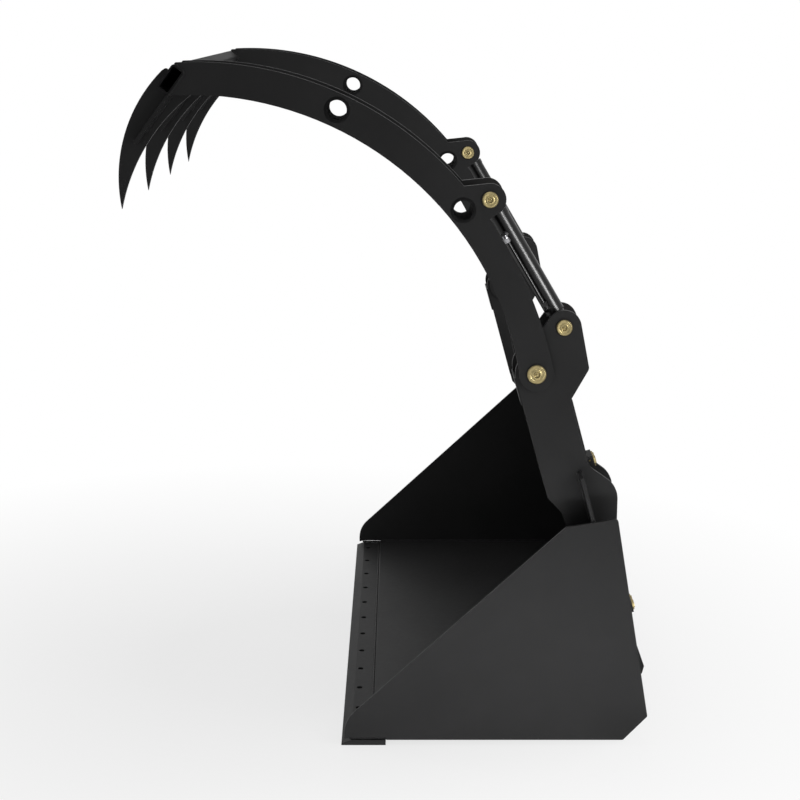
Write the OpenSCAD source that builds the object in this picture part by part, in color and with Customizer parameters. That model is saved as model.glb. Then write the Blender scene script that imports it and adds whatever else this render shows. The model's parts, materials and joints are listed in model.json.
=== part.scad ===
// Hay grapple bucket for a skid-steer loader: an open bucket, two towers on its back and a grapple of two
// plate arms, a cross tube and four tines, closed by two hydraulic cylinders.
// X runs from the mouth (-X) to the loader (+X), Y across the width, Z up from the ground.
// The origin lies on the ground, mid-width, straight under the grapple's pivot. The grapple stands open.

/* [Bucket] */
// Overall width over the side plates
bucket_w = 1829; // [1500:1:2200]
// Front tip of the cutting edge, ahead of the grapple pivot
edge_reach = 545; // [480:1:650]
// Depth of the cutting edge bar, front to back
edge_w = 127; // [100:1:180]
// Thickness of the cutting edge
edge_t = 15.9; // [10:0.1:20]
// Length of the bevel on the cutting edge
edge_bevel = 28; // [15:1:32]
// Height of the cutting edge's tip face
edge_tip_t = 5; // [1:0.5:8]
// How far the floor sheet laps over the cutting edge
floor_lap = 41; // [25:1:60]
// Thickness of the bent floor and back sheet
sheet_t = 6.4; // [4:0.1:10]
// Thickness of the side plates
side_t = 8; // [5:0.1:12]
// Back end of the flat floor, behind the pivot
heel_x = 261; // [200:1:300]
// Rear face of the back sheet where it leaves the heel, behind the pivot
back_x = 325; // [305:1:360]
// Height of that bend above the ground
back_z = 87; // [60:1:120]
// Forward lean of the back sheet
back_lean = 15.4; // [12:0.1:18]
// Length of the back sheet up to the top rail
back_len = 584; // [540:1:620]
// Inside radius of the bends in the sheet
bend_r = 12; // [4:1:25]
// Height of the flat bar along the top of the back
rail_h = 147; // [100:1:170]
// Thickness of that bar
rail_t = 9.5; // [8:0.1:16]
// Top front corner of the side plates, behind the pivot
side_top_x = 85; // [60:1:105]
// Height of that corner
side_top_z = 653; // [600:1:665]
// Top back corner of the side plates, behind the pivot
side_back_x = 228; // [205:1:240]
// Height of that corner
side_back_z = 676; // [670:1:700]
// Height of the side plates' nose
side_nose_h = 59; // [50:1:90]
// Radius of that nose
side_nose_r = 90; // [50:1:95]
// Height of the notch in the side plates above the cutting edge
side_notch = 7.5; // [5:0.5:10]
// How far the side plates stand back from the cutting edge's tip
side_setback = 9; // [3:0.5:20]
// Number of bolt holes in the cutting edge
edge_holes = 12; // [8:2:14]
// Distance from the ends of the cutting edge to the outer holes
edge_hole_inset = 76.3; // [60:0.1:120]
// Diameter of those holes
edge_hole_d = 17.5; // [12:0.1:20]
// Distance from the tip to the line of holes
edge_hole_x = 43.5; // [41:0.5:60]
// Number of wear bars under the floor
wear_bars_n = 5; // [3:2:7]
// Width of a wear bar
wear_bar_w = 76; // [40:1:100]
// Distance from the side plates to the first wear bar
wear_bar_inset = 90; // [60:1:150]

/* [Towers] */
// Height of the grapple pivot above the ground
pivot_z = 1072; // [1040:1:1100]
// Distance from the outside of the side plates to the middle of an arm and its tower
arm_inset = 153.5; // [135:0.5:220]
// Thickness of the tower plates
tower_t = 12.7; // [8:0.1:16]
// Radius of the tower round the pivot
tower_boss_r = 58; // [50:1:62]
// Radius of the tower round the base pin
tower_lobe_r = 48; // [40:1:52]
// Depth of the tower column, front to back
tower_depth = 129; // [120:1:140]
// Rear ear of the tower, behind the pivot
ear_x = 147; // [140:1:155]
// Height of the ear above the pivot
ear_z = 12; // [0:1:25]
// How far the front foot of the tower reaches down inside the bucket
foot_drop = 250; // [200:1:300]
// Rear edge of the brace behind the back sheet, behind the pivot
brace_x = 236; // [230:1:245]
// Slope of the brace's top edge
brace_slope = 35.5; // [30:0.5:42]
// Radius of the brace's rear corner
brace_r = 70; // [20:1:80]
// Thickness of the tower's front cover
front_cover_t = 4.8; // [3:0.1:8]
// Thickness of the tower's rear cover
rear_cover_t = 7.5; // [5:0.1:14]
// Flange of a bush, between the tower and the arm
flange_t = 2.2; // [1.5:0.1:6]
// Outside diameter of the bushes
bush_d = 50; // [46:0.5:56]

/* [Quick attach] */
// Width of the quick-attach plate
qa_w = 1143; // [1000:1:1200]
// Height of the plate along the back sheet
qa_h = 457; // [440:1:470]
// Thickness of the plate, its lip and its ledge
qa_t = 9.5; // [8:0.1:12]
// Lower end of the plate, along the back sheet from the heel bend
qa_low = -2; // [-8:1:10]
// Depth of the upper lip
qa_lip = 55; // [45:1:65]
// Depth of the lower ledge
qa_ledge = 34; // [31:1:45]
// How far the end ribs reach below the plate
qa_rib_low = 13; // [5:1:20]
// Distance between the two lock slots
qa_slot_pitch = 1003; // [900:1:1040]
// Length of a lock slot
qa_slot_l = 54; // [45:1:60]
// Width of a lock slot
qa_slot_w = 27; // [22:1:30]

/* [Grapple] */
// Distance between the middles of an arm's two plates
arm_pitch = 157.5; // [145:0.5:170]
// Thickness of the arm plates
arm_t = 12.7; // [8:0.1:16]
// Radius of the arm's outer edge
arm_outer_r = 947; // [920:1:1050]
// Radius of the arm's inner edge
arm_inner_r = 903; // [860:1:960]
// Radius of the arm's rear edge between the pivot and the lug
arm_rear_r = 1193; // [800:1:1500]
// Radius of the arm's end round the pivot
arm_boss_r = 49; // [44:0.5:54]
// Radius of the lug round the rod pin
lug_r = 44; // [40:0.5:48]
// Rod pin, ahead of the pivot
lug_x = -134; // [-140:1:-128]
// Rod pin, above the pivot
lug_z = 481; // [475:1:487]
// Upper pipe spacer in the arms, behind the cross tube
spacer_high_x = 440; // [400:1:470]
// Upper pipe spacer, below the cross tube
spacer_high_z = 80; // [70:1:95]
// Lower pipe spacer, ahead of the rod pin
spacer_low_x = 72; // [66:1:80]
// Lower pipe spacer, below the rod pin
spacer_low_z = 28; // [20:1:36]
// Outside diameter of the pipe spacers
spacer_d = 60.3; // [48:0.1:64]
// Wall of the pipe spacers
spacer_wall = 3.9; // [3:0.1:6]
// Middle of the cross tube, ahead of the pivot
tube_x = -985; // [-1010:1:-960]
// Middle of the cross tube, above the pivot
tube_z = 800; // [790:1:815]
// Long side of the cross tube
tube_long = 76.2; // [60:0.1:90]
// Short side of the cross tube
tube_short = 38.1; // [30:0.1:50]
// Wall of the cross tube
tube_wall = 4.8; // [3:0.1:7]
// Tilt of the cross tube's long side from level
tube_tilt = 53; // [50:1:56]
// How far the cross tube runs past the arms
tube_proud = 6; // [2:1:20]
// Distance from the middle of an arm to the outer tine
tine_inset = 19.25; // [15:0.25:60]
// Thickness of a tine
tine_t = 12.7; // [8:0.1:16]
// Radius of a tine's outer edge
tine_outer_r = 421; // [380:1:480]
// Radius of a tine's inner edge
tine_inner_r = 532; // [480:1:600]
// Tip of the tines, ahead of the pivot
tip_x = -1143; // [-1160:1:-1130]
// Tip of the tines, above the pivot
tip_z = 444; // [430:1:460]
// Length of the stiffeners on the tines
gusset_l = 168; // [120:1:180]
// Width of a stiffener on each side of its tine
gusset_w = 26; // [15:1:35]
// Thickness of the stiffeners
gusset_t = 9.5; // [6:0.1:12]

/* [Pins and cylinders] */
// Diameter of the pivot pins
pivot_pin_d = 38; // [32:0.1:42]
// Diameter of the base pins and rod pins
cyl_pin_d = 32; // [25:0.1:35]
// Diameter of a pivot pin's head
pivot_head_d = 53; // [50:0.5:60]
// Diameter of the other pins' heads
cyl_head_d = 44.5; // [42:0.5:50]
// Thickness of the pin heads
head_t = 9; // [6:0.5:12]
// Base pin, behind the pivot
base_x = 75; // [70:1:80]
// Base pin, above the pivot
base_z = 128; // [124:1:132]
// Outside diameter of the cylinder barrel
barrel_d = 54; // [50:0.5:60]
// Bore of the cylinder
bore_d = 44.5; // [38:0.5:46]
// Diameter of the rod
rod_d = 31.8; // [25:0.1:34]
// Outside diameter of the cylinder eyes
eye_d = 57; // [50:0.5:60]
// Width of the cylinder eyes
eye_w = 50; // [40:1:60]
// Distance from the rod pin to the flat end of the rod eye
eye_reach = 40; // [36:1:44]
// Length of the gland's collar
gland_h = 14; // [8:1:20]
// Length of the piston
piston_h = 35; // [25:1:45]
// Diameter of the hard line along the barrel
line_d = 10; // [8:0.5:12]

/* [Hidden] */
$fn = 64;

left = -1;
right = 1;
black = [0.13, 0.13, 0.13];
gold = [0.72, 0.66, 0.45];
steel = [0.7, 0.7, 0.72];

// Gap left between welded pieces, radial clearance of a running fit and of a fixed pin in its plate
weld_gap = 0.2;
run_fit = 0.05;
pin_fit = 0.15;
side_play = 0.35;
nut_t = 14;
washer_t = 4;
pin_tail = washer_t + nut_t + 4;

// The bucket's reference points in side view, [x, z]
edge_tip = -edge_reach;
floor_z = edge_t;
floor_front = edge_tip + edge_w - floor_lap;
edge_back = edge_tip + edge_w;
back_foot = [back_x, back_z];
inner_w = bucket_w - 2 * side_t;
edge_pitch = (bucket_w - 2 * edge_hole_inset) / (edge_holes - 1);
rail_top = back_len + rail_h;

// Middle of an arm and its tower, and the distance between tines
arm_y = bucket_w / 2 - arm_inset;
tine_pitch = 2 * (arm_y - tine_inset) / 3;

// Pins, cross tube and pipe spacers in side view, [x, z]
pivot = [0, pivot_z];
base_pin = [base_x, pivot_z + base_z];
rod_pin = [lug_x, pivot_z + lug_z];
tine_tip = [tip_x, pivot_z + tip_z];
tube_mid = [tube_x, pivot_z + tube_z];
spacer_high = tube_mid + [spacer_high_x, -spacer_high_z];
spacer_low = rod_pin - [spacer_low_x, spacer_low_z];

// Faces of the arms and towers, measured from the middle of an arm
arm_face = (arm_pitch + arm_t) / 2;
tower_face = (arm_pitch - arm_t) / 2 - flange_t - side_play;
tower_pitch = 2 * tower_face - tower_t;

// Cylinder, measured along its axis from the base pin
cyl_len = norm(rod_pin - base_pin);
cyl_turn = atan2(rod_pin[0] - base_pin[0], rod_pin[1] - base_pin[1]);
cap_h = 40;
rod_face = cyl_len - eye_reach;
gland_top = rod_face - 8;
barrel_top = gland_top - gland_h;
gland_in = 35;
piston_z = cap_h + 10;
port_high = barrel_top - 48;
port_low = cap_h + 22;
line_r = barrel_d / 2 + 11;
port_angle = 25;
joint_gap = 0.4;

function unit(v) = v / norm(v);
function polar(a) = [cos(a), sin(a)];
function turn(a, b) = ((b - a + 540) % 360) - 180;

// Points on a circle about c, from angle a0 through da degrees
function arc_about(c, r, a0, da, n) = [for (i = [0:n]) c + r * polar(a0 + da * i / n)];

// Points from p to q on a circle of radius |r|, with its middle to the left of p-q where r is positive
function arc_between(p, q, r, n) =
    let (d = q - p,
         rise = sqrt(max(r * r - d * d / 4, 0)),
         c = (p + q) / 2 + sign(r) * rise * [-d[1], d[0]] / norm(d),
         a0 = atan2(p[1] - c[1], p[0] - c[0]),
         a1 = atan2(q[1] - c[1], q[0] - c[0]))
    arc_about(c, norm(p - c), a0, turn(a0, a1), n);

// A corner at b between a and c, rounded to radius r
function corner(a, b, c, r) =
    r == 0 ? [b] :
    let (u = unit(a - b),
         v = unit(c - b),
         half = acos(u * v) / 2,
         m = b + unit(u + v) * r / sin(half),
         p = b + u * r / tan(half) - m,
         q = b + v * r / tan(half) - m,
         a0 = atan2(p[1], p[0]))
    arc_about(m, r, a0, turn(a0, atan2(q[1], q[0])), 8);

// An outline of [x, z, corner radius] points
function rounded(pts) =
    let (n = len(pts), at = [for (p = pts) [p[0], p[1]]])
    [for (i = [0:n - 1]) each corner(at[(i + n - 1) % n], at[i], at[(i + 1) % n], pts[i][2])];

// A point d behind the back sheet's rear face and h up along it, and the way back
function on_back(d, h) =
    back_foot + d * [cos(back_lean), sin(back_lean)] + h * [-sin(back_lean), cos(back_lean)];
function back_d(p) = (p - back_foot) * [cos(back_lean), sin(back_lean)];
function back_h(p) = (p - back_foot) * [-sin(back_lean), cos(back_lean)];

// A point in the cross tube's own frame: s towards its front face, l up along its long side
function on_tube(s, l) =
    tube_mid + s * [-sin(tube_tilt), cos(tube_tilt)] + l * [cos(tube_tilt), sin(tube_tilt)];

// Tower column, measured from the rear face of the back sheet
column_front = back_d(pivot) - tower_boss_r;
column_back = column_front + tower_depth;
front_cover_h = 80;

// Front foot of the tower: height of its turn above the sheet, then [behind the column's front, above the sheet]
foot_turn = 95;
foot_bend = [27, 43];
foot_toe = [31, 4];
foot_h = back_len - foot_drop;

// Brace behind the sheet: its lower end, its knee under the column and the corner of its rear edge
brace_h = qa_low + qa_h + 8;
brace_z = on_back(0, brace_h)[1];
brace_top = on_back(column_back, back_len + 176);
brace_knee = on_back(column_back + 11, back_len + 147);
brace_peak = [brace_x, brace_knee[1] - (brace_x - brace_knee[0]) * tan(brace_slope)];
brace_heel_r = 12;

// Rear ear of the tower and the notch under it
notch = on_back(column_back, back_h(pivot) - 103);
notch_r = 18;
ear = pivot + [ear_x, ear_z];
lobe_back = base_pin + tower_lobe_r * polar(12);

// Hose brackets and their fittings
bracket_t = 5;
bracket_w = 72;
bracket_h = 36;
bracket_hole_d = 7;
cover_low = back_h(brace_top) + 12;
cover_tongue = 36;
cover_tongue_w = tower_pitch - tower_t - 2 * weld_gap;
bracket_drop = 17;
tower_bracket_seat = column_back + rear_cover_t + weld_gap;
tower_bracket_d = tower_bracket_seat + 16.3;
feed_bracket_d = 47.5;
feed_h = 281;
feed_y = arm_y - 21;
fitting_d = 18;
fitting_y = 18;
flange_d = 34;

// Arm outline: where its inner edge leaves the round end, and the lug's foot and back in lug radii
throat_turn = 172;
lug_foot = [0, -1.18];
lug_back = [-1.6, 0.83];

// Tine's head round the cross tube: [away from the tube's wall, along the tube's long side]
tine_cap = [22, -6];
tine_crown = [17.5, 6];
tine_ear = [30, 22];
tine_ear_low = [42, -6.5];

// A side-view outline made into an upright plate with its middle at y
module upright(y, t) {
    translate([0, y, 0])
        rotate([90, 0, 0])
            linear_extrude(t, center = true)
                children();
}

// A round bar or hole across the object, with its middle at y
module across(p, y, l, d) {
    translate([p[0], y, p[1]])
        rotate([90, 0, 0])
            cylinder(h = l, d = d, center = true);
}

// Frame of the back sheet: X out of its rear face, Z up along it
module back_frame(d = 0, h = 0, y = 0) {
    translate([back_x, 0, back_z])
        rotate([0, -back_lean, 0])
            translate([d, y, h])
                children();
}

// Frame of a cylinder: Z along its axis from the base pin
module cylinder_frame(side) {
    translate([base_pin[0], side * arm_y, base_pin[1]])
        rotate([0, cyl_turn, 0])
            children();
}

// Bucket

module bucket_shell() {
    heel = [heel_x, floor_z];
    top = on_back(0, back_len);
    inner_turn = (90 - back_lean - atan2(back_z - floor_z, back_x - heel_x)) / 2;
    heel_turn = atan2(back_z - floor_z, back_x - heel_x) / 2;
    heel_in = heel + sheet_t * [-tan(heel_turn), 1];
    foot_in = on_back(-sheet_t, sheet_t * tan(inner_turn));
    out_r = bend_r + sheet_t;
    color(black)
        upright(0, inner_w)
            polygon(rounded([
                [floor_front, floor_z, 0],
                [heel[0], heel[1], out_r],
                [back_x, back_z, out_r],
                [top[0], top[1], 0],
                [on_back(-sheet_t, back_len)[0], on_back(-sheet_t, back_len)[1], 0],
                [foot_in[0], foot_in[1], bend_r],
                [heel_in[0], heel_in[1], bend_r],
                [floor_front + sheet_t, floor_z + sheet_t, 0]
            ]));
}

module side_plate(side) {
    nose_x = edge_tip + side_setback;
    low_back = on_back(4, 0);
    color(black)
        upright(side * (bucket_w - side_t) / 2, side_t)
            polygon(rounded([
                [nose_x, floor_z + side_notch / 2, 0],
                [nose_x, floor_z + side_nose_h, side_nose_r],
                [side_top_x, side_top_z, 6],
                [side_back_x, side_back_z, 8],
                [low_back[0], low_back[1], 6],
                [heel_x, floor_z, 6],
                [edge_back + 2, floor_z, 0],
                [edge_back + 2, floor_z + side_notch, 3],
                [edge_tip + edge_bevel, floor_z + side_notch, 0]
            ]));
}

module cutting_edge() {
    color(black)
        difference() {
            upright(0, bucket_w)
                polygon([
                    [edge_tip, 0],
                    [edge_back, 0],
                    [edge_back, edge_t],
                    [edge_tip + edge_bevel, edge_t],
                    [edge_tip, edge_tip_t]
                ]);
            for (i = [0:edge_holes - 1])
                translate([edge_tip + edge_hole_x, (i - (edge_holes - 1) / 2) * edge_pitch, -1])
                    cylinder(h = edge_t + 2, d = edge_hole_d);
        }
}

module wear_bars() {
    bar_start = edge_back + 10;
    bar_step = (inner_w - 2 * wear_bar_inset - wear_bar_w) / (wear_bars_n - 1);
    color(black)
        for (i = [0:wear_bars_n - 1])
            upright((i - (wear_bars_n - 1) / 2) * bar_step, wear_bar_w)
                polygon([
                    [bar_start + floor_z, 0],
                    [heel_x - 30 - floor_z, 0],
                    [heel_x - 30, floor_z],
                    [bar_start, floor_z]
                ]);
}

module rail_outline(gap = 0) {
    polygon([
        on_back(gap, back_len - gap),
        on_back(gap, rail_top + gap),
        on_back(-rail_t - gap, rail_top + gap),
        on_back(-rail_t - gap, back_len - gap)
    ]);
}

module top_rail() {
    color(black)
        upright(0, inner_w)
            rail_outline();
}

// Towers

// Plate of a tower: a leaning column with a round end at the pivot and at the base pin, an ear behind them,
// a foot inside the bucket and a brace behind the back sheet, slotted over the sheet and its rail
module tower_outline() {
    lean = atan2(base_z, base_x);
    spread = acos((tower_boss_r - tower_lobe_r) / norm(base_pin - pivot));
    polygon(concat(
        [pivot, on_back(column_front, back_h(pivot)), on_back(column_front, back_len + foot_turn)],
        [for (p = [foot_bend, foot_toe]) on_back(column_front + p[0], back_len + p[1])],
        [on_back(-sheet_t, foot_h), on_back(-sheet_t / 2, foot_h), on_back(-sheet_t / 2, brace_h)],
        corner(on_back(0, brace_h), [brace_x, brace_z], brace_peak, brace_heel_r),
        corner([brace_x, brace_z], brace_peak, brace_knee, brace_r),
        [brace_knee, brace_top, notch],
        corner(notch, ear, lobe_back, notch_r),
        [lobe_back, base_pin, base_pin + tower_lobe_r * polar(lean + spread)],
        [pivot + tower_boss_r * polar(lean + spread)]
    ));
}

module tower_plate(y) {
    color(black)
        difference() {
            upright(y, tower_t)
                difference() {
                    union() {
                        tower_outline();
                        translate(pivot)
                            circle(r = tower_boss_r);
                        translate(base_pin)
                            circle(r = tower_lobe_r);
                    }
                    rail_outline(weld_gap);
                    polygon([
                        on_back(weld_gap, back_len),
                        on_back(-sheet_t - weld_gap, back_len),
                        on_back(-sheet_t - weld_gap, 0),
                        on_back(weld_gap, 0)
                    ]);
                }
            across(pivot, y, tower_t + 2, bush_d + 2 * pin_fit);
            across(base_pin, y, tower_t + 2, cyl_pin_d + 2 * pin_fit);
        }
}

// Front and rear plates that box in the column, each set in by half of a tower plate,
// the rear one with a tongue that reaches down between the braces
module tower_covers(side) {
    front_top = back_h(pivot);
    color(black)
        back_frame(0, 0, side * arm_y) {
            translate([column_front - front_cover_t, -tower_pitch / 2, front_top - front_cover_h])
                cube([front_cover_t, tower_pitch, front_cover_h]);
            translate([column_back, -tower_pitch / 2, cover_low])
                cube([rear_cover_t, tower_pitch, back_h(notch) - cover_low]);
            translate([column_back, -cover_tongue_w / 2, cover_low - cover_tongue])
                cube([rear_cover_t, cover_tongue_w, cover_tongue + 1]);
        }
}

// Two flanged bushes, each pushed through its tower plate from outside
module tower_bushes(side) {
    outer = tower_pitch / 2 + tower_t / 2;
    sleeve = tower_t + 12;
    color(steel)
        for (face = [-1, 1])
            difference() {
                union() {
                    across(pivot, side * arm_y + face * (outer + flange_t / 2), flange_t, bush_d + 22);
                    across(pivot, side * arm_y + face * (outer - sleeve / 2), sleeve, bush_d);
                }
                across(pivot, side * arm_y + face * outer, 3 * sleeve, pivot_pin_d + 2 * run_fit);
            }
}

// Pins, each with its head to the left and its thread to the right

// Stepped pin head with a recessed middle and a grease nipple, growing up from z = 0
module pin_head(d) {
    rotate_extrude()
        polygon([
            [0, 0],
            [d / 2, 0],
            [d / 2, head_t - 3],
            [d / 2 - 2.5, head_t],
            [d * 0.34, head_t],
            [d * 0.31, head_t - 1.5],
            [d * 0.27, head_t - 1.5],
            [d * 0.24, head_t],
            [d * 0.17, head_t],
            [d * 0.13, head_t - 4],
            [3, head_t - 4],
            [3, head_t - 1],
            [1.5, head_t + 1],
            [0, head_t + 1]
        ]);
}

// A pin at p in the tower or arm on one side: seat is the outer face that its head lies on
module pin(p, side, d, head_d, seat) {
    color(gold)
        translate([p[0], side * arm_y, p[1]])
            rotate([90, 0, 0]) {
                translate([0, 0, -seat - pin_tail])
                    cylinder(h = 2 * seat + pin_tail, d = d);
                translate([0, 0, seat])
                    pin_head(head_d);
            }
}

// Washer and nut on the thread of such a pin
module pin_nut(p, side, d, seat) {
    translate([p[0], side * arm_y, p[1]])
        rotate([-90, 0, 0])
            difference() {
                union() {
                    translate([0, 0, seat])
                        cylinder(h = washer_t, d = 1.9 * d);
                    translate([0, 0, seat + washer_t])
                        cylinder(h = nut_t, d = 1.75 * d, $fn = 6);
                }
                cylinder(h = seat + pin_tail, d = d + 2 * pin_fit);
            }
}

// Two collars that keep a cylinder eye in the middle of its pin
module pin_collars(p, side, d, seat) {
    inner = eye_w / 2 + side_play;
    for (face = [-1, 1])
        difference() {
            across(p, side * arm_y + face * (inner + seat) / 2, seat - inner, d + 12);
            across(p, side * arm_y + face * (inner + seat) / 2, seat, d + 2 * pin_fit);
        }
}

module base_pin_hardware() {
    color(gold)
        for (side = [left, right]) {
            pin_nut(base_pin, side, cyl_pin_d, tower_face);
            pin_collars(base_pin, side, cyl_pin_d, tower_pitch / 2 - tower_t / 2);
        }
}

module grapple_pin_hardware() {
    color(gold)
        for (side = [left, right]) {
            pin_nut(pivot, side, pivot_pin_d, arm_face);
            pin_nut(rod_pin, side, cyl_pin_d, arm_face);
            pin_collars(rod_pin, side, cyl_pin_d, arm_pitch / 2 - arm_t / 2);
        }
}

// Quick attach

module quick_attach_plate() {
    color(black)
        back_frame(weld_gap, qa_low)
            translate([0, -qa_w / 2, 0])
                cube([qa_t, qa_w, qa_h]);
}

// The lip slopes down behind the plate, so that the loader's plate is trapped under it
module quick_attach_lip() {
    rise = qa_t / cos(45);
    reach = qa_lip * cos(45);
    color(black)
        back_frame(weld_gap + qa_t, qa_low + qa_h)
            rotate([90, 0, 0])
                linear_extrude(qa_w, center = true)
                    polygon([[0, 0], [reach, -reach], [reach, -reach - rise], [0, -rise]]);
}

module quick_attach_ledge() {
    color(black)
        back_frame(weld_gap + qa_t, qa_low)
            difference() {
                rotate([90, 0, 0])
                    linear_extrude(qa_w, center = true)
                        polygon([[0, 0], [qa_ledge - 4, 0], [qa_ledge, 4], [qa_ledge, qa_t], [0, qa_t]]);
                for (y = [-qa_slot_pitch / 2, qa_slot_pitch / 2])
                    translate([qa_ledge / 2 - 2, y, -1])
                        slot_cut(qa_slot_l, qa_slot_w, qa_t + 2);
            }
}

module slot_cut(l, w, h) {
    for (end = [-1, 1])
        translate([0, end * (l - w) / 2, 0])
            cylinder(h = h, d = w);
    translate([-w / 2, -(l - w) / 2, 0])
        cube([w, l - w, h]);
}

// End plates that join the ledge, the plate and the lip
module quick_attach_ribs() {
    top = qa_low + qa_h;
    reach = qa_t + qa_ledge;
    waist = reach * 0.6;
    color(black)
        for (side = [left, right])
            back_frame(weld_gap, 0, side * (qa_w + qa_t) / 2)
                rotate([90, 0, 0])
                    linear_extrude(qa_t, center = true)
                        polygon(rounded([
                            [0, qa_low - qa_rib_low, 0],
                            [reach - 11, qa_low - qa_rib_low, 3],
                            [reach + 1, qa_low + qa_t - 1, 4],
                            [waist, qa_low + 0.56 * qa_h, 40],
                            [waist, top - 95, 20],
                            [qa_t + qa_lip * cos(45), top - 56, 8],
                            [qa_t + qa_lip * cos(45), top - 34, 8],
                            [qa_t, top + 4, 4],
                            [0, top + 4, 0]
                        ]));
}

// Hydraulics

// Bent bracket for two bulkhead fittings: from a seat at d = start to a plate at d = reach
module hose_bracket(start, reach) {
    top = bracket_h / 2;
    for (face = [-1, 1])
        translate([0, face * (bracket_w - bracket_t) / 2, 0])
            rotate([90, 0, 0])
                linear_extrude(bracket_t, center = true)
                    difference() {
                        polygon([
                            [start, top],
                            [reach, top],
                            [reach, -top],
                            [reach - bracket_t - 2, -top],
                            [reach - bracket_t - 11, 0],
                            [start, 6]
                        ]);
                        translate([reach - bracket_t - 5.5, top - bracket_t - 7])
                            circle(d = bracket_hole_d);
                    }
    translate([start, -bracket_w / 2, top - bracket_t])
        cube([reach - start, bracket_w, bracket_t]);
    difference() {
        translate([reach - bracket_t, -bracket_w / 2, -top])
            cube([bracket_t, bracket_w, bracket_h]);
        for (y = [-fitting_y, fitting_y])
            translate([reach - bracket_t - 1, y, 0])
                rotate([0, 90, 0])
                    cylinder(h = bracket_t + 2, d = fitting_d + 0.4);
    }
}

// Body through the bracket, a flange and a hex on its rear, a lock nut in front
module bulkhead_fitting(reach) {
    for (y = [-fitting_y, fitting_y])
        translate([reach, y, 0])
            rotate([0, 90, 0]) {
                cylinder(h = 4, d = flange_d);
                translate([0, 0, 4])
                    cylinder(h = 3, d = 25, $fn = 6);
                translate([0, 0, -bracket_t - 6])
                    cylinder(h = 6, d = 25, $fn = 6);
                translate([0, 0, -bracket_t - 9])
                    cylinder(h = bracket_t + 9, d = fitting_d);
            }
}

module tower_bracket_frame(side) {
    back_frame(0, cover_low - bracket_drop - bracket_h / 2, side * arm_y)
        children();
}

module feed_bracket_frame() {
    back_frame(0, feed_h, -feed_y)
        children();
}

module hose_brackets() {
    color(black) {
        for (side = [left, right])
            tower_bracket_frame(side)
                hose_bracket(tower_bracket_seat, tower_bracket_d);
        feed_bracket_frame()
            hose_bracket(weld_gap, feed_bracket_d);
    }
}

module bulkhead_fittings() {
    color(gold) {
        for (side = [left, right])
            tower_bracket_frame(side)
                bulkhead_fitting(tower_bracket_d);
        feed_bracket_frame()
            bulkhead_fitting(feed_bracket_d);
    }
}

// Grapple

// Curved arm plate: a sickle from its round end at the pivot, past the rod pin's lug, to the cross tube
module arm_outline() {
    toe_low = on_tube(-tube_short / 2 - weld_gap, -tube_long / 2);
    toe_high = on_tube(tube_short / 2 - 3, tube_long / 2 + 5);
    throat = pivot + arm_boss_r * polar(throat_turn);
    heel = pivot + arm_boss_r * polar(0);
    under_lug = rod_pin + lug_r * lug_foot;
    over_lug = rod_pin + lug_r * lug_back;
    polygon(concat(
        arc_between(toe_low, throat, -arm_inner_r, 36),
        arc_about(pivot, arm_boss_r, throat_turn, 360 - throat_turn, 16),
        arc_between(heel, under_lug, arm_rear_r, 16),
        arc_about(rod_pin, lug_r, -45, 150, 16),
        arc_between(over_lug, toe_high, arm_outer_r, 30),
        [on_tube(tube_short / 2 - 3, tube_long / 2 + weld_gap)],
        [on_tube(-tube_short / 2 - weld_gap, tube_long / 2 + weld_gap)]
    ));
}

module arm_plate(y) {
    color(black)
        difference() {
            upright(y, arm_t)
                arm_outline();
            across(pivot, y, arm_t + 2, pivot_pin_d + 2 * pin_fit);
            across(rod_pin, y, arm_t + 2, cyl_pin_d + 2 * pin_fit);
            across(spacer_high, y, arm_t + 2, spacer_d + 2 * weld_gap);
            across(spacer_low, y, arm_t + 2, spacer_d + 2 * weld_gap);
        }
}

// Two pipes that tie the plates of one arm, each with a weld ring where it leaves a plate
module arm_spacers(side) {
    l = arm_pitch + arm_t + 4;
    color(black)
        for (p = [spacer_high, spacer_low])
            difference() {
                union() {
                    across(p, side * arm_y, l, spacer_d);
                    for (face = [-1, 1])
                        translate([p[0], side * arm_y + face * (arm_pitch + arm_t) / 2, p[1]])
                            rotate([-90 * face, 0, 0])
                                cylinder(h = 2, d1 = spacer_d + 10, d2 = spacer_d);
                }
                across(p, side * arm_y, l + 2, spacer_d - 2 * spacer_wall);
            }
}

module tube_section(s, l, r) {
    polygon(rounded([for (c = [[1, 1], [-1, 1], [-1, -1], [1, -1]])
        [on_tube(c[0] * s / 2, c[1] * l / 2)[0], on_tube(c[0] * s / 2, c[1] * l / 2)[1], r]]));
}

module cross_tube() {
    color(black)
        upright(0, 2 * (arm_y + arm_face + tube_proud))
            difference() {
                tube_section(tube_short, tube_long, 1.6 * tube_wall);
                tube_section(tube_short - 2 * tube_wall, tube_long - 2 * tube_wall, 0.6 * tube_wall);
            }
}

// Sickle tine, notched to wrap round the cross tube
module tine(i) {
    front = tube_short / 2 + weld_gap;
    rear = -tube_short / 2 - weld_gap;
    low = -tube_long / 2 - weld_gap;
    cap = on_tube(front + tine_cap[0], tine_cap[1]);
    crown = on_tube(front + tine_crown[0], tine_crown[1]);
    brow = on_tube(front, tine_crown[1]);
    ear_in = on_tube(rear, tine_ear[1]);
    ear_out = on_tube(rear - tine_ear[0], tine_ear[1]);
    ear_low = on_tube(rear - tine_ear_low[0], tine_ear_low[1]);
    color(black)
        upright((i - 2.5) * tine_pitch, tine_t)
            polygon(concat(
                arc_between(tine_tip, cap, -tine_outer_r, 20),
                corner(cap, crown, brow, 6),
                [brow, on_tube(front, low), on_tube(rear, low), ear_in],
                corner(ear_in, ear_out, ear_low, 10),
                arc_between(ear_low, tine_tip, tine_inner_r, 20)
            ));
}

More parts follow.
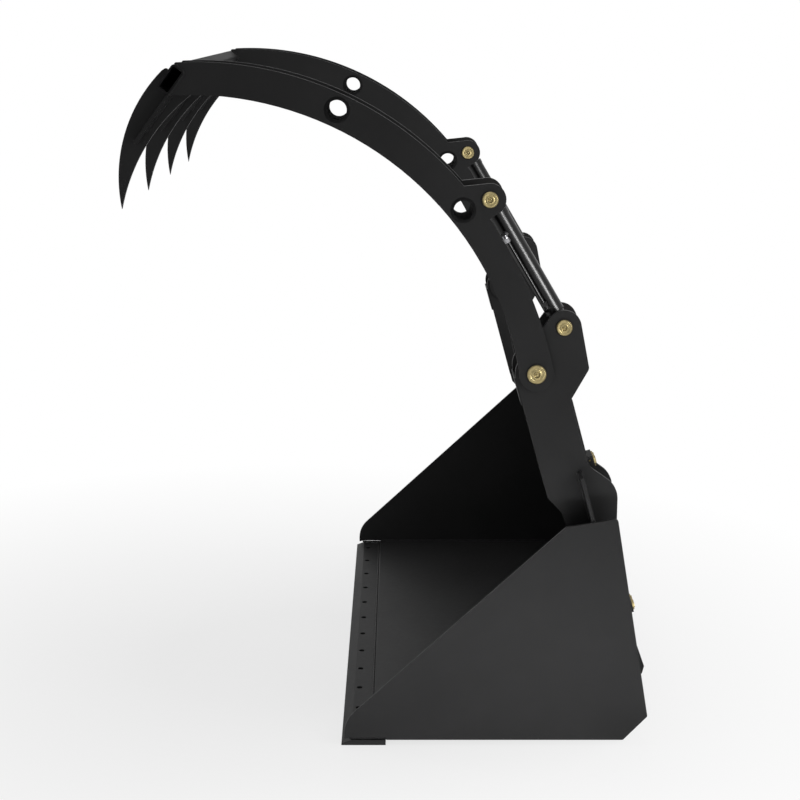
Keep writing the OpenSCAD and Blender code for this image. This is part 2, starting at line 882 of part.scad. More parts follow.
// Flat bars welded to both sides of each tine, in line with the rear wall of the cross tube
module tine_stiffeners() {
    color(black)
        for (i = [1:4], face = [-1, 1])
            upright((i - 2.5) * tine_pitch + face * (tine_t + gusset_w) / 2, gusset_w)
                polygon([
                    on_tube(-tube_short / 2, -tube_long / 2 - weld_gap),
                    on_tube(-tube_short / 2 + gusset_t, -tube_long / 2 - weld_gap),
                    on_tube(-tube_short / 2 + gusset_t, -tube_long / 2 - gusset_l),
                    on_tube(-tube_short / 2, -tube_long / 2 - gusset_l)
                ]);
}

// Cylinders

module base_eye(side) {
    color(black)
        cylinder_frame(side)
            eye_block(cap_h);
}

module rod_eye(side) {
    color(black)
        cylinder_frame(side)
            translate([0, 0, cyl_len])
                rotate([0, 180, 0])
                    eye_block(eye_reach);
}

// A cross-bored eye with a round neck that ends flat at z = reach
module eye_block(reach) {
    difference() {
        union() {
            rotate([90, 0, 0])
                cylinder(h = eye_w, d = eye_d, center = true);
            cylinder(h = reach, d = min(barrel_d, eye_w - 2));
        }
        rotate([90, 0, 0])
            cylinder(h = eye_w + 2, d = cyl_pin_d + 2 * run_fit, center = true);
    }
}

module barrel(side) {
    color(black)
        cylinder_frame(side)
            difference() {
                translate([0, 0, cap_h])
                    cylinder(h = barrel_top - cap_h, d = barrel_d);
                translate([0, 0, cap_h + 8])
                    cylinder(h = barrel_top - cap_h, d = bore_d);
            }
}

module gland(side) {
    color(black)
        cylinder_frame(side)
            difference() {
                union() {
                    translate([0, 0, barrel_top])
                        cylinder(h = gland_h, d = barrel_d + 3);
                    translate([0, 0, barrel_top - gland_in])
                        cylinder(h = gland_in, d = bore_d - 0.2);
                }
                translate([0, 0, barrel_top - gland_in - 1])
                    cylinder(h = gland_in + gland_h + 2, d = rod_d + 2 * run_fit);
            }
}

module piston(side) {
    color(steel)
        cylinder_frame(side)
            translate([0, 0, piston_z])
                cylinder(h = piston_h, d = bore_d - 2 * run_fit);
}

module rod(side) {
    color(steel)
        cylinder_frame(side)
            translate([0, 0, piston_z + piston_h])
                cylinder(h = rod_face - joint_gap - piston_z - piston_h, d = rod_d);
}

// Frame of a port: X straight out of the barrel's outer side
module port_frame(side, z) {
    cylinder_frame(side)
        rotate([0, 0, side * (90 + port_angle)])
            translate([0, 0, z])
                children();
}

// Boss on the barrel, elbow, and the nut of the hard line, which lies in direction way
module port_fitting(way) {
    translate([barrel_d / 2 + 0.5, 0, 0])
        rotate([0, 90, 0])
            cylinder(h = line_r - barrel_d / 2 + 4, d = 17);
    translate([line_r, 0, way * 9])
        cylinder(h = 18, d = 15, center = true);
    translate([line_r, 0, way * 16])
        cylinder(h = 12, d = 18, center = true, $fn = 6);
}

module port_fittings(side) {
    color(black) {
        port_frame(side, port_high)
            port_fitting(-1);
        port_frame(side, port_low)
            port_fitting(1);
    }
}

module hard_line(side) {
    color(black)
        port_frame(side, port_low + 22)
            translate([line_r, 0, 0])
                cylinder(h = port_high - port_low - 44, d = line_d);
}

bucket_shell();
side_plate(left);  // side_plate_left
side_plate(right);  // side_plate_right
cutting_edge();
wear_bars();
top_rail();
tower_plate(-arm_y - tower_pitch / 2);  // tower_left_outer
tower_plate(-arm_y + tower_pitch / 2);  // tower_left_inner
tower_plate(arm_y - tower_pitch / 2);  // tower_right_inner
tower_plate(arm_y + tower_pitch / 2);  // tower_right_outer
tower_covers(left);  // tower_covers_left
tower_covers(right);  // tower_covers_right
tower_bushes(left);  // tower_bushes_left
tower_bushes(right);  // tower_bushes_right
pin(base_pin, left, cyl_pin_d, cyl_head_d, tower_face);  // base_pin_left
pin(base_pin, right, cyl_pin_d, cyl_head_d, tower_face);  // base_pin_right
base_pin_hardware();
quick_attach_plate();
quick_attach_lip();
quick_attach_ledge();
quick_attach_ribs();
hose_brackets();
bulkhead_fittings();
arm_plate(-arm_y - arm_pitch / 2);  // arm_left_outer
arm_plate(-arm_y + arm_pitch / 2);  // arm_left_inner
arm_plate(arm_y - arm_pitch / 2);  // arm_right_inner
arm_plate(arm_y + arm_pitch / 2);  // arm_right_outer
arm_spacers(left);  // arm_spacers_left
arm_spacers(right);  // arm_spacers_right
cross_tube();
tine(1);  // tine_1
tine(2);  // tine_2
tine(3);  // tine_3
tine(4);  // tine_4
tine_stiffeners();
pin(pivot, left, pivot_pin_d, pivot_head_d, arm_face);  // pivot_pin_left
pin(pivot, right, pivot_pin_d, pivot_head_d, arm_face);  // pivot_pin_right
pin(rod_pin, left, cyl_pin_d, cyl_head_d, arm_face);  // rod_pin_left
pin(rod_pin, right, cyl_pin_d, cyl_head_d, arm_face);  // rod_pin_right
grapple_pin_hardware();
barrel(left);  // barrel_left
barrel(right);  // barrel_right
base_eye(left);  // base_eye_left
base_eye(right);  // base_eye_right
gland(left);  // gland_left
gland(right);  // gland_right
port_fittings(left);  // port_fittings_left
port_fittings(right);  // port_fittings_right
hard_line(left);  // hard_line_left
hard_line(right);  // hard_line_right
rod(left);  // rod_left
rod(right);  // rod_right
piston(left);  // piston_left
piston(right);  // piston_right
rod_eye(left);  // rod_eye_left
rod_eye(right);  // rod_eye_right
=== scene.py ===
# Looks of the hay grapple bucket: materials, softened edges, weld beads, light and camera.
import json
import math

import bmesh
import bpy
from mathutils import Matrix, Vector


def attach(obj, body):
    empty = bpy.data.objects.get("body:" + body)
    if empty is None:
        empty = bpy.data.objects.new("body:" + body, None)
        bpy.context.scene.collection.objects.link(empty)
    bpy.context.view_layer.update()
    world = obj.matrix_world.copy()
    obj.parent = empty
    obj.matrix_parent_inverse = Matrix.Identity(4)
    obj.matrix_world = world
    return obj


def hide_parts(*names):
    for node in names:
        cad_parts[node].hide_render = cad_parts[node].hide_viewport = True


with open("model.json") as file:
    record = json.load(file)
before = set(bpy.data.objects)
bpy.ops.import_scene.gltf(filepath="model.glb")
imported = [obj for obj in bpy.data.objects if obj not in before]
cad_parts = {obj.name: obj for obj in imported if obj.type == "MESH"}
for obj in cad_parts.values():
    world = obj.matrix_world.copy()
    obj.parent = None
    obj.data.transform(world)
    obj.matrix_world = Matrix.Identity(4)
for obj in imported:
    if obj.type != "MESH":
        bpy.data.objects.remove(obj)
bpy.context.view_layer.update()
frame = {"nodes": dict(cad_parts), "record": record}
nodes = frame["nodes"]
record = frame["record"]
scene = bpy.context.scene

# Sizes shared with the part, in metres
LEAN = math.radians(15.4)
BACK = Vector((0.325, 0.0, 0.087))
BACK_LEN = 0.584
RAIL_H = 0.147
RAIL_T = 0.0095
SHEET = 0.0064
FLOOR = 0.0159
BARS = 5
BAR_W = 0.076
BAR_MARGIN = 0.090
EDGE_BACK = -0.418
FLOOR_FRONT = -0.459
HEEL_X = 0.261
INNER = 0.9065
PIVOT = Vector((0.0, 0.0, 1.072))
BASE = Vector((0.075, 0.0, 1.200))
ROD = Vector((-0.134, 0.0, 1.553))
ARM_Y = 0.761
ARM_PITCH = 0.1575
PLATE = 0.0127
TOWER_PITCH = 0.127
TOWER_DEPTH = 0.129
FRONT_TO_PIVOT = 0.058
TOWER_FOOT = 0.250
COVER_LOW = BACK_LEN + 0.188
TUBE = Vector((-0.985, 0.0, 1.872))
TUBE_TILT = math.radians(53)
TUBE_LONG = 0.0762
TUBE_SHORT = 0.0381
TINES = 4
TINE_PITCH = 0.4945
GUSSET_L = 0.168
GUSSET_T = 0.0095
GUSSET_W = 0.026
QA_W = 1.143
QA_LOW = -0.002
QA_H = 0.457
QA_T = 0.0095
CYL_LEN = (ROD - BASE).length
CYL_AXIS = (ROD - BASE).normalized()
CAP_H = 0.040
BARREL_R = 0.027
REAR_COVER_T = 0.0075
BRACKET_W = 0.072
BRACKET_TOP = COVER_LOW - 0.017
FEED_TOP = 0.299
FEED_INSET = 0.021
LEFT, RIGHT = -1, 1
SIDES = {"left": LEFT, "right": RIGHT}


def on_back(d, h, y=0.0):
    """Point d behind the back sheet's rear face and h up along it."""
    return Vector((BACK.x + d * math.cos(LEAN) - h * math.sin(LEAN), y,
                   BACK.z + d * math.sin(LEAN) + h * math.cos(LEAN)))


def on_tube(s, along, y=0.0):
    """Point in the cross tube's own frame: s towards its front face, along its long side."""
    return Vector((TUBE.x - s * math.sin(TUBE_TILT) + along * math.cos(TUBE_TILT), y,
                   TUBE.z + s * math.cos(TUBE_TILT) + along * math.sin(TUBE_TILT)))


def back_d(p):
    """How far a point is behind the back sheet's rear face."""
    return (p.x - BACK.x) * math.cos(LEAN) + (p.z - BACK.z) * math.sin(LEAN)


def back_h(p):
    """How far up along the back sheet a point is."""
    return -(p.x - BACK.x) * math.sin(LEAN) + (p.z - BACK.z) * math.cos(LEAN)


COLUMN_FRONT = back_d(PIVOT) - FRONT_TO_PIVOT
COLUMN_BACK = COLUMN_FRONT + TOWER_DEPTH
RAIL_TOP = BACK_LEN + RAIL_H


# Materials

def new_material(name):
    """New material with its node tree and its Principled shader."""
    m = bpy.data.materials.new(name)
    m.use_nodes = True
    nt = m.node_tree
    return m, nt, nt.nodes["Principled BSDF"]


def add(nt, kind, **values):
    """New shader node; a value goes to the input of that name, or else to the property."""
    n = nt.nodes.new(kind)
    for key, value in values.items():
        if key in n.inputs:
            n.inputs[key].default_value = value
        else:
            setattr(n, key, value)
    return n


def noise(nt, scale, detail=4.0, rough=0.55, stretch=None):
    """Noise in the object's own metres, optionally stretched."""
    place = add(nt, "ShaderNodeTexCoord").outputs["Object"]
    if stretch:
        mapping = add(nt, "ShaderNodeMapping")
        mapping.inputs["Scale"].default_value = stretch
        nt.links.new(place, mapping.inputs["Vector"])
        place = mapping.outputs["Vector"]
    n = add(nt, "ShaderNodeTexNoise", Scale=scale, Detail=detail, Roughness=rough)
    nt.links.new(place, n.inputs["Vector"])
    return n.outputs["Fac"]


def ramp(nt, source, low, high, a, b):
    """Maps a factor from low..high to a..b."""
    r = add(nt, "ShaderNodeMapRange")
    for key, value in (("From Min", low), ("From Max", high), ("To Min", a), ("To Max", b)):
        r.inputs[key].default_value = value
    nt.links.new(source, r.inputs["Value"])
    return r.outputs["Result"]


def colour_between(nt, factor, a, b):
    """Mixes two colours by a factor output."""
    mix = add(nt, "ShaderNodeMix", data_type="RGBA")
    mix.inputs[6].default_value = (*a, 1)
    mix.inputs[7].default_value = (*b, 1)
    nt.links.new(factor, mix.inputs[0])
    return mix.outputs[2]


def bump(nt, bsdf, layers):
    """Stacks bump layers, each (height output, strength, distance)."""
    last = None
    for height, strength, distance in layers:
        b = add(nt, "ShaderNodeBump", Strength=strength, Distance=distance)
        nt.links.new(height, b.inputs["Height"])
        if last is not None:
            nt.links.new(last, b.inputs["Normal"])
        last = b.outputs["Normal"]
    nt.links.new(last, bsdf.inputs["Normal"])


def powder_coat(name, base, rough, peel, level):
    """Black powder coat: fine orange peel, a soft drift of tone and of gloss."""
    m, nt, bsdf = new_material(name)
    broad = noise(nt, 4.0, 3.0, 0.5)
    fine = noise(nt, 70.0, 3.0, 0.6)
    grain = noise(nt, 480.0, 2.0, 0.5)
    dark = tuple(c * 0.90 for c in base)
    light = tuple(c * 1.12 for c in base)
    drift = ramp(nt, broad, 0.35, 0.65, 0, 1)
    nt.links.new(colour_between(nt, drift, dark, light), bsdf.inputs["Base Color"])
    gloss = add(nt, "ShaderNodeMath", operation="ADD")
    nt.links.new(ramp(nt, broad, 0.3, 0.7, rough - 0.03, rough + 0.03), gloss.inputs[0])
    nt.links.new(ramp(nt, fine, 0.3, 0.7, -0.02, 0.02), gloss.inputs[1])
    nt.links.new(gloss.outputs[0], bsdf.inputs["Roughness"])
    bump(nt, bsdf, [(fine, peel * 0.5, 0.0005), (grain, peel, 0.0002)])
    bsdf.inputs["Specular IOR Level"].default_value = level
    return m


def plated(name, a, b, rough):
    """Yellow zinc plate with a drifting tint."""
    m, nt, bsdf = new_material(name)
    tint = noise(nt, 90.0, 3.0, 0.6)
    fine = noise(nt, 900.0, 2.0, 0.5)
    drift = ramp(nt, tint, 0.35, 0.65, 0, 1)
    nt.links.new(colour_between(nt, drift, a, b), bsdf.inputs["Base Color"])
    nt.links.new(ramp(nt, fine, 0.3, 0.7, rough - 0.05, rough + 0.07), bsdf.inputs["Roughness"])
    bump(nt, bsdf, [(fine, 0.15, 0.0001)])
    bsdf.inputs["Metallic"].default_value = 1.0
    return m


def turned_steel(name, base, rough):
    """Machined steel with fine tool marks."""
    m, nt, bsdf = new_material(name)
    marks = noise(nt, 260.0, 3.0, 0.6, (1.0, 9.0, 1.0))
    tint = noise(nt, 30.0, 2.0, 0.5)
    dark = tuple(c * 0.9 for c in base)
    nt.links.new(colour_between(nt, tint, dark, base), bsdf.inputs["Base Color"])
    nt.links.new(ramp(nt, marks, 0.3, 0.7, rough - 0.06, rough + 0.08), bsdf.inputs["Roughness"])
    bump(nt, bsdf, [(marks, 0.12, 0.0001)])
    bsdf.inputs["Metallic"].default_value = 1.0
    return m


PAINT = (0.0180, 0.0180, 0.0183)
BLACK = powder_coat("powder_coat", PAINT, 0.50, 0.10, 0.10)
BLACK_WELD = powder_coat("powder_coat_weld", PAINT, 0.44, 0.20, 0.10)
MATTE = powder_coat("powder_coat_inside", PAINT, 0.80, 0.10, 0.01)
TUBE_COAT = powder_coat("powder_coat_tube", PAINT, 0.50, 0.10, 0.02)
BARREL = powder_coat("barrel_enamel", (0.0015, 0.0015, 0.0016), 0.30, 0.01, 0.26)
ZINC = plated("yellow_zinc", (0.30, 0.245, 0.120), (0.22, 0.185, 0.095), 0.34)
STEEL = turned_steel("turned_steel", (0.22, 0.22, 0.225), 0.40)
CHROME = turned_steel("hard_chrome", (0.62, 0.62, 0.64), 0.10)
FITTING = turned_steel("plated_fitting", (0.26, 0.26, 0.27), 0.28)
LOOKS = {"powder_coat": BLACK, "zinc": ZINC, "bare_steel": STEEL, "chrome": CHROME}


# Pieces that stand for CAD nodes, with softened edges

MERGE = 1e-6
FLAT_ANGLE = math.radians(0.6)
SHARP_ANGLE = math.radians(32)
EDGE_WIDTH = 0.0005
SMALL_EDGE = 0.0004


def show(obj, body, material):
    """Links an object to the scene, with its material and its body."""
    scene.collection.objects.link(obj)
    obj.data.materials.clear()
    obj.data.materials.append(material)
    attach(obj, body)


def paint_lower_port(obj):
    """The port at a cylinder's foot is painted with the barrel."""
    obj.data.materials.append(BARREL)
    for face in obj.data.polygons:
        along = (face.center - BASE).dot(CYL_AXIS)
        if along < CYL_LEN / 2:
            face.material_index = 1


def soften(name, body, material, width):
    """Copy of a CAD node with its sharp edges rounded over, flat faces kept flat."""
    mesh = nodes[name].data.copy()
    bm = bmesh.new()
    bm.from_mesh(mesh)
    bmesh.ops.remove_doubles(bm, verts=bm.verts, dist=MERGE)
    bmesh.ops.dissolve_limit(bm, angle_limit=FLAT_ANGLE, verts=bm.verts, edges=bm.edges)
    bm.to_mesh(mesh)
    bm.free()
    mesh.polygons.foreach_set("use_smooth", [True] * len(mesh.polygons))
    mesh.set_sharp_from_angle(angle=SHARP_ANGLE)
    obj = bpy.data.objects.new("skin_" + name, mesh)
    show(obj, body, material)
    mod = obj.modifiers.new("edges", "BEVEL")
    mod.width = width
    mod.segments = 2
    mod.limit_method = "ANGLE"
    mod.angle_limit = SHARP_ANGLE
    mod.use_clamp_overlap = True
    mod.harden_normals = True
    deps = bpy.context.evaluated_depsgraph_get()
    final = bpy.data.meshes.new_from_object(obj.evaluated_get(deps))
    obj.modifiers.clear()
    obj.data = final
    if name.startswith("port_fittings"):
        paint_lower_port(obj)
    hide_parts(name)


node_body = {n: b for b, ns in record["behaviour"]["bodies"].items() for n in ns}
node_slot = {s["node"]: s["material_slot"] for s in record["subparts"]}
ENAMEL = ("barrel_", "gland_", "base_eye_", "rod_eye_", "hard_line_")
SMALL = ("port_", "bulkhead_", "hose_", "base_pin_", "grapple_pin_", "pivot_pin_", "rod_", "piston",
         "hard_line", "tower_bushes", "gland")
for name in sorted(nodes):
    material = LOOKS[node_slot[name]]
    if name.startswith(ENAMEL):
        material = BARREL
    if name.startswith("port_fittings"):
        material = FITTING
    if name == "cross_tube":
        material = TUBE_COAT
    if name.startswith("arm_spacers"):
        material = MATTE
    width = SMALL_EDGE if name.startswith(SMALL) else EDGE_WIDTH
    soften(name, node_body[name], material, width)


# Weld beads

# A ripple of metal every 6.6 mm, in three rings; the two rings at each end are smaller
RIPPLE = 0.0066
RIPPLE_RINGS = (1.0, 0.93, 0.86)
RING_SIDES = 8
END_TAPER = {0: 0.25, 1: 0.75}
# A direction that no bead runs along, from which each ring of a bead is turned
SKEW = Vector((0.123, 0.456, 0.882))

# How far into the corner a bead's centre lies, as a share of its radius
TUCK = 0.3
DEEP_TUCK = 0.35


def resample(path, step):
    """Points at even steps along a polyline, with the direction at each."""
    out = []
    for a, b in zip(path, path[1:]):
        length = (b - a).length
        count = max(1, round(length / step))
        way = (b - a).normalized()
        for i in range(count):
            out.append((a.lerp(b, i / count), way))
    out.append((path[-1], (path[-1] - path[-2]).normalized()))
    return out


def bead_mesh(verts, faces, path, r):
    """Adds one rippled bead along a path to the lists of a mesh."""
    rings = resample(path, RIPPLE / len(RIPPLE_RINGS))
    start = len(verts)
    last = len(rings) - 1
    for k, (centre, way) in enumerate(rings):
        side = way.cross(SKEW).normalized()
        up = way.cross(side)
        swell = (RIPPLE_RINGS[k % len(RIPPLE_RINGS)] + 0.05 * math.sin(k * 0.71)
                 + 0.04 * math.sin(k * 0.23 + r * 900))
        swell *= END_TAPER.get(min(k, last - k), 1.0)
        drift = side * r * 0.10 * math.sin(k * 0.37)
        for j in range(RING_SIDES):
            a = 2 * math.pi * j / RING_SIDES
            verts.append(centre + drift + (side * math.cos(a) + up * math.sin(a)) * r * swell)
    for k in range(last):
        for j in range(RING_SIDES):
            a = start + k * RING_SIDES + j
            b = start + k * RING_SIDES + (j + 1) % RING_SIDES
            faces.append((a, b, b + RING_SIDES, a + RING_SIDES))
    faces.append(tuple(start + j for j in reversed(range(RING_SIDES))))
    faces.append(tuple(start + last * RING_SIDES + j for j in range(RING_SIDES)))


def welds(name, body, beads):
    """One piece of weld beads, each (path, radius), on one body."""
    verts, faces = [], []
    for path, r in beads:
        bead_mesh(verts, faces, path, r)
    mesh = bpy.data.meshes.new(name)
    mesh.from_pydata(verts, [], faces)
    mesh.polygons.foreach_set("use_smooth", [True] * len(mesh.polygons))
    mesh.update()
    show(bpy.data.objects.new(name, mesh), body, BLACK_WELD)


def ring(centre, axis, r, turns=36):
    """Closed circle about an axis."""
    side = axis.cross(Vector((0, 1, 0))).normalized() if abs(axis.y) < 0.9 else Vector((1, 0, 0))
    up = axis.cross(side)
    angles = [2 * math.pi * i / turns for i in range(turns + 1)]
    return [centre + (side * math.cos(a) + up * math.sin(a)) * r for a in angles]


def bucket_welds():
    """Beads of the side plates on the sheet and the cutting edge, and along the sheet's ends."""
    r = 0.0038
    c = DEEP_TUCK * r
    low_front = -0.524
    heel = Vector((HEEL_X, 0, FLOOR + SHEET + c))
    foot = on_back(-SHEET - c, 0.018)
    # Along the floor, round the bend in two corners and up the back sheet
    inside = [Vector((FLOOR_FRONT + SHEET, 0, FLOOR + SHEET + c)), heel - Vector((0.004, 0, 0)),
              heel + Vector((0.008, 0, 0.004)), foot + Vector((-0.010, 0, -0.014)), foot,
              on_back(-SHEET - c, BACK_LEN - 0.004)]
    for side_name, side in SIDES.items():
        y = side * (INNER - c)
        rear_foot = on_back(c, 0.016, y)
        rear_top = on_back(c, BACK_LEN, y)
        low = [Vector((EDGE_BACK + 0.004, side * (INNER + 0.0008), FLOOR + 0.0035)),
               Vector((low_front, side * (INNER + 0.0008), FLOOR + 0.0035))]
        welds("weld_side_" + side_name, "root", [
            ([Vector((p.x, y, p.z)) for p in inside], r),
            ([rear_foot, rear_top], r),
            (low, 0.0034),
        ])
    across = []
    for d, rail_r in ((-SHEET - 0.001, 0.003), (0.0002, 0.0028)):
        across.append(([on_back(d, BACK_LEN, -INNER), on_back(d, BACK_LEN, INNER)], rail_r))
    across.append(([Vector((FLOOR_FRONT - 0.0002, -INNER, FLOOR + 0.0016)),
                    Vector((FLOOR_FRONT - 0.0002, INNER, FLOOR + 0.0016))], 0.0032))
    across.append(([Vector((EDGE_BACK + 0.001, -INNER, FLOOR - 0.001)),
                    Vector((EDGE_BACK + 0.001, INNER, FLOOR - 0.001))], 0.0036))
    welds("weld_sheet", "root", across)


def wear_bar_welds():
    """Stitches of bead along both edges of each wear bar."""
    r = 0.0034
    z = FLOOR - 0.001
    stitches, first, pitch, length = 4, -0.38, 0.160, 0.075
    step = (2 * INNER - 2 * BAR_MARGIN - BAR_W) / (BARS - 1)
    beads = []
    for i in range(BARS):
        for edge in (-1, 1):
            y = (i - BARS // 2) * step + edge * (BAR_W / 2 + 0.001)
            for k in range(stitches):
                x = first + k * pitch
                beads.append(([Vector((x, y, z)), Vector((x + length, y, z))], r))
    welds("weld_wear_bars", "root", beads)


def tower_welds():
    """Beads of the tower plates on the back sheet and the rail, and of the covers on the plates."""
    r = 0.0036
    c = TUCK * r
    front_low = BACK_LEN - TOWER_FOOT + 0.004
    rear_low = QA_LOW + QA_H + 0.010
    for side_name, side in SIDES.items():
        beads = []
        for plate in (-1, 1):
            for face in (-1, 1):
                y = side * ARM_Y + plate * TOWER_PITCH / 2 + face * (PLATE / 2 + c)
                for d0, h0, d1, h1 in (
                        (-SHEET - c, front_low, -SHEET - c, BACK_LEN - 0.002),
                        (-RAIL_T - c, BACK_LEN + 0.002, -RAIL_T - c, RAIL_TOP),
                        (-RAIL_T, RAIL_TOP + c, 0, RAIL_TOP + c),
                        (c, rear_low, c, RAIL_TOP)):
                    beads.append(([on_back(d0, h0, y), on_back(d1, h1, y)], r))
        for plate in (-1, 1):
            y = side * ARM_Y + plate * (TOWER_PITCH / 2 + 0.001)
            front = COLUMN_FRONT - 0.001
            top = back_h(PIVOT)
            beads.append(([on_back(front, top - 0.079, y), on_back(front, top - 0.001, y)], 0.0032))
            rear = COLUMN_BACK + 0.001
            beads.append(([on_back(rear, COVER_LOW - 0.020, y), on_back(rear, top - 0.094, y)], 0.0034))
        welds("weld_tower_" + side_name, "root", beads)


def quick_attach_welds():
    """Beads round the quick-attach plate, and of its lip, ledge and ribs."""
    r = 0.0036
    top = QA_LOW + QA_H
    half = QA_W / 2
    face = QA_T + 0.001
    beads = [([on_back(d, h, -half), on_back(d, h, half)], bead_r) for d, h, bead_r in (
        (0.001, top + 0.001, 0.0034),
        (0.001, QA_LOW - 0.001, 0.0034),
        (face, QA_LOW + QA_T + 0.001, r),
        (face, top + 0.0002, 0.0026),
        (face, top - 0.0150, r))]
    for side in (LEFT, RIGHT):
        for y in (half - 0.0008, half + QA_T + 0.001):
            d = face if y < half else 0.001
            beads.append(([on_back(d, QA_LOW + 0.012, side * y), on_back(d, top - 0.018, side * y)], r))
    welds("weld_quick_attach", "root", beads)


def bracket_welds():
    """Beads at the seats of the brackets: two on the rear covers' tongues, one on the back sheet."""
    r = 0.0026
    seats = [(COLUMN_BACK + REAR_COVER_T, BRACKET_TOP, side * ARM_Y) for side in (LEFT, RIGHT)]
    seats.append((0.0002, FEED_TOP, -ARM_Y + FEED_INSET))
    beads = []
    for seat, top, mid in seats:
        d = seat + 0.0008
        half = BRACKET_W / 2
        for edge in (-1, 1):
            y = mid + edge * (half + 0.0005)
            beads.append(([on_back(d, top - 0.0115, y), on_back(d, top - 0.0005, y)], r))
        h = top + 0.0006
        beads.append(([on_back(d, h, mid - half + 0.001), on_back(d, h, mid + half - 0.001)], r))
    welds("weld_brackets", "root", beads)


def arm_welds():
    """Beads of the arm plates on the cross tube's rear and upper faces."""
    r = 0.0036
    c = TUCK * r
    rear = -TUBE_SHORT / 2
    top = TUBE_LONG / 2
    for side_name, side in SIDES.items():
        beads = []
        for plate in (-1, 1):
            for face in (-1, 1):
                y = side * ARM_Y + plate * ARM_PITCH / 2 + face * (PLATE / 2 + c)
                path = [on_tube(rear - c, -top + 0.002, y), on_tube(rear - c, top - 0.006, y),
                        on_tube(rear + 0.006, top + c, y), on_tube(-rear - 0.006, top + c, y)]
                beads.append((path, r))
        welds("weld_arm_" + side_name, "grapple", beads)


def tine_welds():
    """Beads of the tines and their stiffeners on the cross tube."""
    r = 0.0034
    c = TUCK * r
    front = TUBE_SHORT / 2 + c
    low = -TUBE_LONG / 2 - c
    cut = 0.007
    gusset_rear = -TUBE_SHORT / 2
    for i in range(TINES):
        mid = (i - (TINES - 1) / 2) * TINE_PITCH
        beads = []
        for face in (-1, 1):
            y = mid + face * (PLATE / 2 + c)
            path = [on_tube(front, 0.005, y), on_tube(front, low + cut, y),
                    on_tube(front - cut, low, y), on_tube(gusset_rear + GUSSET_T + 0.002, low, y)]
            beads.append((path, r))
            beads.append(([on_tube(gusset_rear - c, low + 0.004, y), on_tube(gusset_rear - c, 0.020, y)], r))
            for s in (gusset_rear - c, gusset_rear + GUSSET_T + c):
                beads.append(([on_tube(s, low - 0.002, y), on_tube(s, low - GUSSET_L + 0.038, y)], r))
            y0 = mid + face * (PLATE / 2 + 0.002)
            y1 = mid + face * (PLATE / 2 + GUSSET_W)
            s = gusset_rear + GUSSET_T + c
            beads.append(([on_tube(s, low, y0), on_tube(s, low, y1)], 0.003))
        welds("weld_tine_%d" % (i + 1), "grapple", beads)


def cylinder_welds():
    """The bead round each barrel's foot, at its cap."""
    for side_name, side in SIDES.items():
        origin = Vector((BASE.x, side * ARM_Y, BASE.z))
        foot = ring(origin + CYL_AXIS * CAP_H, CYL_AXIS, BARREL_R - 0.0012)
        welds("weld_barrel_" + side_name, "barrel_" + side_name, [(foot, 0.0026)])


bucket_welds()
wear_bar_welds()
tower_welds()
quick_attach_welds()
bracket_welds()
arm_welds()
tine_welds()
cylinder_welds()


# Camera at the photograph's angle, which looks this many degrees down

CAMERA_DOWN = 13.16
camera_data = bpy.data.cameras.new("camera")
camera_data.lens = 75.0
camera_data.sensor_width = 36.0
camera_data.clip_end = 60.0
camera = bpy.data.objects.new("camera", camera_data)
camera.location = (-0.377, -5.339, 2.050)
camera.rotation_euler = (math.radians(90 - CAMERA_DOWN), 0.0, 0.0)
scene.collection.objects.link(camera)
scene.camera = camera


# Floor, light and backdrop

# The floor glows for camera and glossy rays. The glow is weakest at FLOOR_CENTRE, left of the object, and
# full beyond FLOOR_FAR. This is painted shade, greyest near and left of the object, laid on top of its real
# shadow.
FLOOR_SIZE = 14.0
FLOOR_CENTRE = (-0.75, -0.25, -0.0005)
FLOOR_NEAR, FLOOR_FAR = 0.4, 2.4
FLOOR_PLAIN = 0.70
WORLD_LIGHT = 0.24


def seen_directly(nt):
    """1 for camera, glossy and transmission rays, else 0."""
    path = add(nt, "ShaderNodeLightPath")
    first = add(nt, "ShaderNodeMath", operation="MAXIMUM")
    both = add(nt, "ShaderNodeMath", operation="MAXIMUM")
    nt.links.new(path.outputs["Is Camera Ray"], first.inputs[0])
    nt.links.new(path.outputs["Is Glossy Ray"], first.inputs[1])
    nt.links.new(first.outputs[0], both.inputs[0])
    nt.links.new(path.outputs["Is Transmission Ray"], both.inputs[1])
    return both.outputs[0]


def floor_material():
    """White studio floor: near the object it shows its real soft shadow, and its own glow, seen only
    directly, grows with distance from a centre left of the object, a painted shade near and left of the
    object that fades to plain white further out.
    """
    m, nt, bsdf = new_material("studio_floor")
    grain = ramp(nt, noise(nt, 35.0, 3.0, 0.6), 0.3, 0.7, 0, 1)
    tone = colour_between(nt, grain, (0.90, 0.90, 0.90), (0.92, 0.92, 0.92))
    nt.links.new(tone, bsdf.inputs["Base Color"])
    bsdf.inputs["Roughness"].default_value = 0.9
    bsdf.inputs["Specular IOR Level"].default_value = 0.1
    white = add(nt, "ShaderNodeEmission", Strength=1.0)
    place = add(nt, "ShaderNodeTexCoord").outputs["Object"]
    away = add(nt, "ShaderNodeVectorMath", operation="LENGTH")
    nt.links.new(place, away.inputs[0])
    # Glow share rising with distance from the floor's centre: painted shade near it, plain white far out.
    plain = ramp(nt, away.outputs["Value"], FLOOR_NEAR, FLOOR_FAR, FLOOR_PLAIN, 1.0)
    share = add(nt, "ShaderNodeMath", operation="MULTIPLY")
    nt.links.new(plain, share.inputs[0])
    nt.links.new(seen_directly(nt), share.inputs[1])
    mixer = add(nt, "ShaderNodeMixShader")
    nt.links.new(share.outputs[0], mixer.inputs[0])
    nt.links.new(bsdf.outputs[0], mixer.inputs[1])
    nt.links.new(white.outputs[0], mixer.inputs[2])
    nt.links.new(mixer.outputs[0], nt.nodes["Material Output"].inputs["Surface"])
    return m


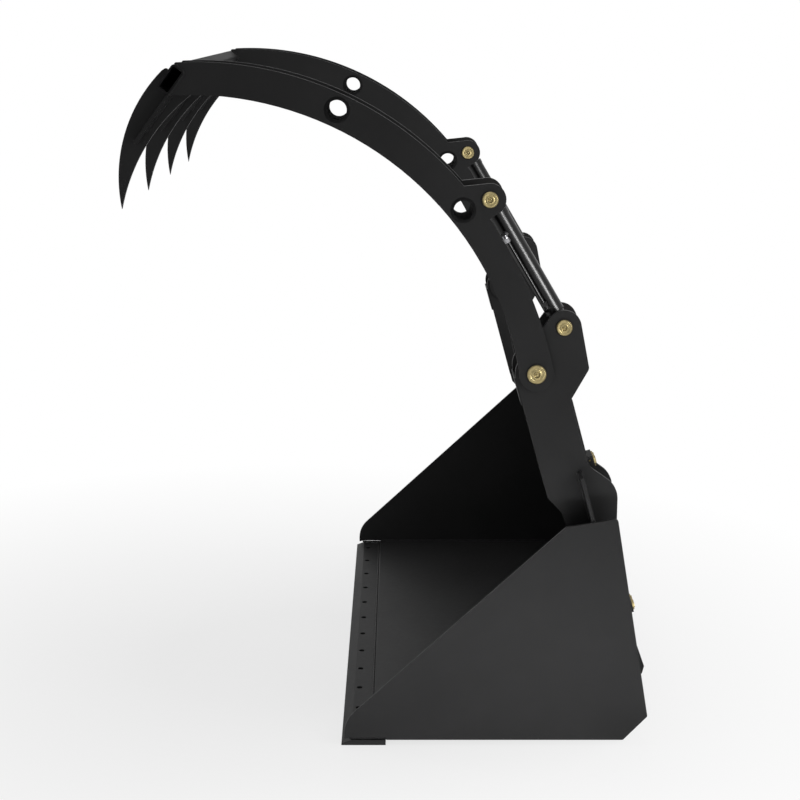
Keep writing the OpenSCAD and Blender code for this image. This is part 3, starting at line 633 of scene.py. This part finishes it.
bm = bmesh.new()
bmesh.ops.create_grid(bm, x_segments=2, y_segments=2, size=FLOOR_SIZE)
floor_mesh = bpy.data.meshes.new("floor")
bm.to_mesh(floor_mesh)
bm.free()
floor = bpy.data.objects.new("floor", floor_mesh)
floor.location = FLOOR_CENTRE
scene.collection.objects.link(floor)
floor.data.materials.append(floor_material())

world = bpy.data.worlds.new("world")
scene.world = world
world.use_nodes = True
wt = world.node_tree
wt.nodes.clear()
lit = add(wt, "ShaderNodeBackground", Strength=WORLD_LIGHT)
seen = add(wt, "ShaderNodeBackground", Strength=1.0)
for shade in (lit, seen):
    shade.inputs["Color"].default_value = (1, 1, 1, 1)
mixer = add(wt, "ShaderNodeMixShader")
wt.links.new(seen_directly(wt), mixer.inputs[0])
wt.links.new(lit.outputs[0], mixer.inputs[1])
wt.links.new(seen.outputs[0], mixer.inputs[2])
wt.links.new(mixer.outputs[0], add(wt, "ShaderNodeOutputWorld").inputs["Surface"])


def area(name, where, at, size, power):
    """Area lamp at a place, turned towards another."""
    d = bpy.data.lights.new(name, "AREA")
    d.shape = "RECTANGLE"
    d.size, d.size_y = size
    d.energy = power
    o = bpy.data.objects.new(name, d)
    o.location = where
    o.rotation_euler = (Vector(at) - Vector(where)).to_track_quat("-Z", "Y").to_euler()
    scene.collection.objects.link(o)
    return o


# The sheen lamp is only for the highlight along the barrels; three others are left out of highlights
key = area("key", (3.4, -2.2, 3.9), (0.0, 0.0, 0.6), (1.4, 1.4), 34.0)
sheen = area("sheen", (1.60, -2.8, 1.66), (0.0, -0.76, 1.40), (0.7, 0.9), 100.0)
sheen.visible_diffuse = False
area("low", (0.0, -1.9, 0.06), (0.0, -0.90, 0.06), (1.9, 0.10), 11.5)
area("top", (-0.6, 0.0, 4.4), (-0.2, 0.0, 0.4), (2.2, 2.2), 20.0)
back = area("back", (3.8, 0.6, 0.8), (0.3, 0.0, 0.6), (1.8, 1.2), 60.0)
right = area("right", (-0.2, 4.2, 0.8), (0.0, 0.9, 0.8), (1.8, 1.2), 60.0)
for lamp in (key, back, right):
    lamp.visible_glossy = False

scene.view_settings.view_transform = "Standard"
